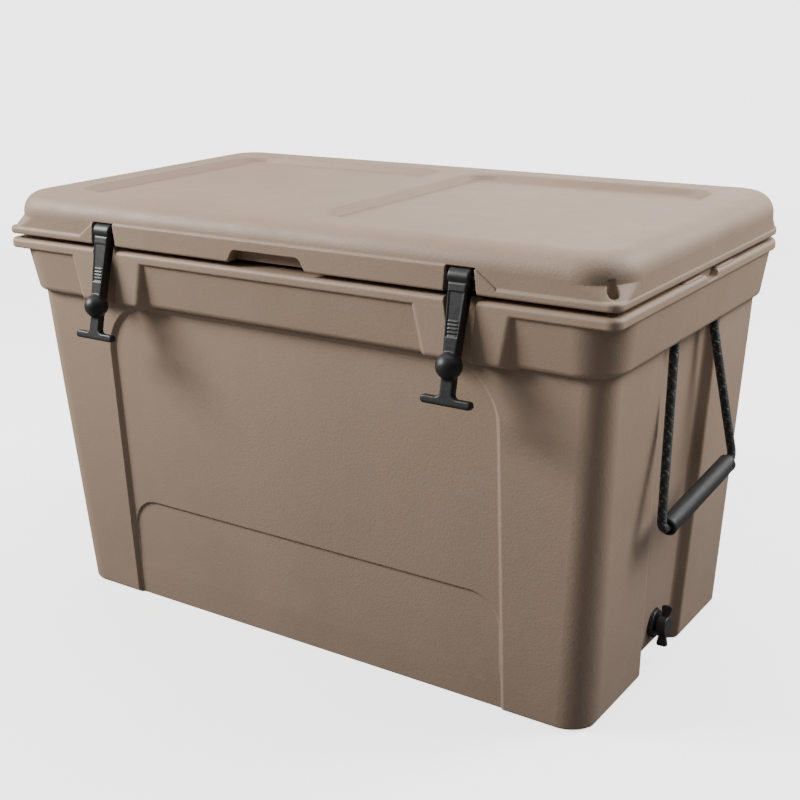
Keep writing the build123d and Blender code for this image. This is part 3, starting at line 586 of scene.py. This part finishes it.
def braided_rope(name, sign):
    line, distance = rope_line(sign)
    normal, binormal = carried_frames(line)
    tubes = Tubes()
    for sense in (1, -1):
        # the two directions pass over and under each other
        radius = BRAID_RADIUS + sense * WEAVE_HEIGHT * np.cos(STRANDS * TWIST * distance)
        for i in range(STRANDS):
            angle = 2 * math.pi * i / STRANDS + sense * TWIST * distance
            radial = np.cos(angle)[:, None] * normal + np.sin(angle)[:, None] * binormal
            strand = line + radial * radius[:, None]
            direction = tangents(strand)
            outward = square_to(radial, direction)
            tubes.add(strand, (outward, np.cross(direction, outward)),
                      (STRAND_HALF_THICKNESS, STRAND_HALF_WIDTH), STRAND_SIDES,
                      material=1 if i % 4 == 1 else 0)
    # filled core under the braid
    tubes.add(line, (normal, binormal), (CORE_RADIUS, CORE_RADIUS), CORE_SIDES)
    made = new_object(name, tubes.points, tubes.faces, [ROPE_BLACK, ROPE_FLECK],
                      tubes.face_materials)
    fix_normals(made.data)
    return made


for side, sign in SIDES:
    rope = braided_rope("handle_braid_" + side, sign)
    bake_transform(rope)
    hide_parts("handle_rope_" + side)

# ------------------------------------------------------------------ grips
GRIP_SEGMENTS = 144
WALL_STEPS = 60
WALL_BELLY = 0.00020        # how far the outer wall swells at mid length
FLUTES, FLUTE_HEIGHT = 36, 0.00010
FLUTE_MARGIN = 0.010        # plain length at each mouth
SEAM_HEIGHT, SEAM_WIDTH = 0.00025, 0.035
RELIEF_RADIUS = 0.0110      # flutes and seams only act outside this

# (distance from the mouth, radius): outside, with a low bead
MOUTH = (
    (0.0000, 0.0086), (0.0002, 0.0098), (0.0009, 0.0109), (0.0020, 0.0115),
    (0.0036, 0.01160), (0.0052, 0.01150), (0.0064, 0.01128), (0.0080, 0.01122),
)
# (distance from the mouth, radius): inside
BORE = ((0.0004, 0.0076), (0.0014, 0.0071), (0.0040, 0.0070), (0.0400, 0.0070))


def grip_profile():
    """Closed outline as (distance along the axis, radius)."""
    wall_start, wall_radius = MOUTH[-1]
    wall = []
    for i in range(1, WALL_STEPS):
        part = i / WALL_STEPS
        wall.append((wall_start + (GRIP_LENGTH - 2 * wall_start) * part,
                     wall_radius + WALL_BELLY * math.sin(math.pi * part)))
    far_mouth = [(GRIP_LENGTH - x, radius) for x, radius in MOUTH[::-1]]
    far_bore = [(GRIP_LENGTH - x, radius) for x, radius in BORE]
    return [*MOUTH, *wall, *far_mouth, *far_bore, *BORE[::-1]]


def grip_relief(x, radius, angle):
    """Height of the fine flutes and the two mould seams on the outer wall."""
    if radius < RELIEF_RADIUS:
        return 0.0
    fluted = 1.0 if min(x, GRIP_LENGTH - x) > FLUTE_MARGIN else 0.0
    seam = SEAM_HEIGHT * math.exp(-((math.sin(angle) / SEAM_WIDTH) ** 2))
    return fluted * (FLUTE_HEIGHT * math.cos(FLUTES * angle)) + seam


def grip_tube(name, sign):
    """Turns the outline round the grip's axis."""
    mirror = np.array([sign, 1, 1])
    origin = GRIP_FRONT * mirror
    axis = unit(GRIP_AXIS * mirror)
    level = unit(np.cross(axis, [0.0, 0.0, 1.0]))
    third = np.cross(axis, level)
    profile = grip_profile()
    count = len(profile)
    points, faces = [], []
    for k in range(GRIP_SEGMENTS):
        angle = 2 * math.pi * k / GRIP_SEGMENTS
        outward = level * math.cos(angle) + third * math.sin(angle)
        here, there = k * count, (k + 1) % GRIP_SEGMENTS * count
        for j, (x, radius) in enumerate(profile):
            relief = grip_relief(x, radius, angle)
            points.append(origin + axis * x + outward * (radius + relief))
            after = (j + 1) % count
            faces.append((here + j, there + j, there + after, here + after))
    made = new_object(name, points, faces, [GRIP])
    fix_normals(made.data)
    return made


for side, sign in SIDES:
    grip = grip_tube("grip_tube_" + side, sign)
    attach(grip, "grip_" + side[0])
    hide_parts("handle_grip_" + side)

# ------------------------------------------------------------------ drain plug
plug = soft_copy("drain_plug", "drain_plug_moulded", voxel=0.00045, material=NYLON)
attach(plug, "drain_knob")
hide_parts("drain_plug")

# ------------------------------------------------------------------ floor and world
BACKDROP = 3.6          # brightness of the white backdrop, seen by the camera only
FLOOR_LIFT = 2.0        # glow of the floor, seen by the camera only
FLOOR_BOUNCE = 0.11     # floor colour that lights the box from below
FLOOR_HALF = 14
FLOOR_DROP = 0.0005     # keeps the floor just under the feet


def floor_material():
    """Pale seamless floor that runs out into the plain backdrop."""
    m = Material("studio_floor")
    seen = m.add("LightPath").outputs["Is Camera Ray"]
    cloud = m.noise(scale=3.0, detail=3.0, roughness=0.5)
    pale = m.cover((0.84, 0.84, 0.84), (0.79, 0.79, 0.79), mask=cloud, amount=0.10)
    bounce = scaled((1.0, 0.97, 0.94), FLOOR_BOUNCE)
    length = m.add("VectorMath", {0: m.place}, operation="LENGTH").outputs["Value"]
    far = m.ramp(m.times(length, 1 / 6.0), start=0.16, end=0.62)
    backdrop = m.add("Emission", {0: (1, 1, 1), 1: BACKDROP})
    fade = m.add("MixShader", {0: m.times(far, seen), 1: m.shader.outputs[0],
                               2: backdrop.outputs[0]})
    m.feed(m.output.inputs[0], fade.outputs[0])
    return m.finish({"Base Color": m.mix(seen, bounce, pale), "Roughness": 0.8,
                     "Emission Color": (1.0, 1.0, 1.0),
                     "Emission Strength": m.times(seen, FLOOR_LIFT)})


def build_world():
    """White for the camera; as light, a soft sky brightest overhead, to the left and back."""
    world = bpy.data.worlds.new("studio")
    w = Nodes(world)
    brightest = tuple(Vector((-0.38, 0.30, 0.87)).normalized())
    view = w.add("TexCoord").outputs["Generated"]
    facing = w.add("VectorMath", {0: view, 1: brightest}, operation="DOT_PRODUCT")
    strength = w.add("MapRange", {
        "Value": facing.outputs["Value"], "From Min": -0.55, "From Max": 0.95,
        "To Min": 0.05, "To Max": 0.58}, interpolation_type="SMOOTHSTEP")
    sky = w.add("Background", {0: (0.97, 0.98, 1.0), 1: strength.outputs["Result"]})
    backdrop = w.add("Background", {0: (1, 1, 1), 1: BACKDROP})
    seen = w.add("LightPath").outputs["Is Camera Ray"]
    chosen = w.add("MixShader", {0: seen, 1: sky.outputs[0], 2: backdrop.outputs[0]})
    w.add("OutputWorld", {0: chosen.outputs[0]})
    scene.world = world


corners = [(x * FLOOR_HALF, y * FLOOR_HALF, 0) for x, y in ((-1, -1), (1, -1), (1, 1), (-1, 1))]
floor = new_object("studio_floor", corners, [(0, 1, 2, 3)], [floor_material()], smooth=False)
floor.location.z = -FLOOR_DROP
build_world()


# ------------------------------------------------------------------ lights
def area_light(name, location, target, size, power, color=(1, 1, 1)):
    light = bpy.data.lights.new(name, "AREA")
    light.shape = "RECTANGLE"
    light.size, light.size_y = size
    light.energy = power
    light.color = color
    made = bpy.data.objects.new(name, light)
    made.location = location
    aim = Vector(target) - Vector(location)
    made.rotation_euler = aim.to_track_quat("-Z", "Y").to_euler()
    scene.collection.objects.link(made)


area_light("key_left", location=(-2.1, -1.6, 1.9), target=(-0.1, -0.2, 0.45),
           size=(1.2, 0.9), power=132, color=(1.0, 0.985, 0.96))
area_light("overhead", location=(-0.1, 0.3, 2.6), target=(0, 0, 0.4),
           size=(2.2, 1.4), power=16)
area_light("side_right", location=(1.7, 0.9, 2.4), target=(0.4, 0.1, 0.5),
           size=(1.1, 1.1), power=46, color=(0.98, 0.99, 1.0))
area_light("side_back", location=(1.9, 1.5, 1.8), target=(0.4, 0.0, 0.45),
           size=(1.0, 1.0), power=50, color=(1.0, 0.985, 0.965))
area_light("back", location=(-0.6, 3.0, 1.8), target=(0, 0, 0.4),
           size=(2.4, 1.2), power=16)


# ------------------------------------------------------------------ camera
def build_camera(location, azimuth, elevation, roll, lens, shift):
    """Camera looking down at the box; azimuth turns from the front towards +X."""
    azimuth, elevation, roll = map(math.radians, (azimuth, elevation, roll))
    back = Vector((math.sin(azimuth) * math.cos(elevation),
                   -math.cos(azimuth) * math.cos(elevation), math.sin(elevation)))
    right = (-back).cross(Vector((0, 0, 1))).normalized()
    up = right.cross(-back)
    rolled_right = math.cos(roll) * right + math.sin(roll) * up
    rolled_up = -math.sin(roll) * right + math.cos(roll) * up
    data = bpy.data.cameras.new("camera")
    data.sensor_fit = "HORIZONTAL"
    data.sensor_width = 36.0
    data.lens = lens
    data.shift_x, data.shift_y = shift
    data.clip_start = 0.05
    camera = bpy.data.objects.new("camera", data)
    pose = Matrix((rolled_right, rolled_up, back)).transposed().to_4x4()
    pose.translation = location
    camera.matrix_world = pose
    scene.collection.objects.link(camera)
    scene.camera = camera


build_camera(location=(0.96197, -1.37596, 0.83219), azimuth=33.9198, elevation=18.2846,
             roll=-1.10748, lens=57.84138, shift=(-0.01659125, 0.000795))
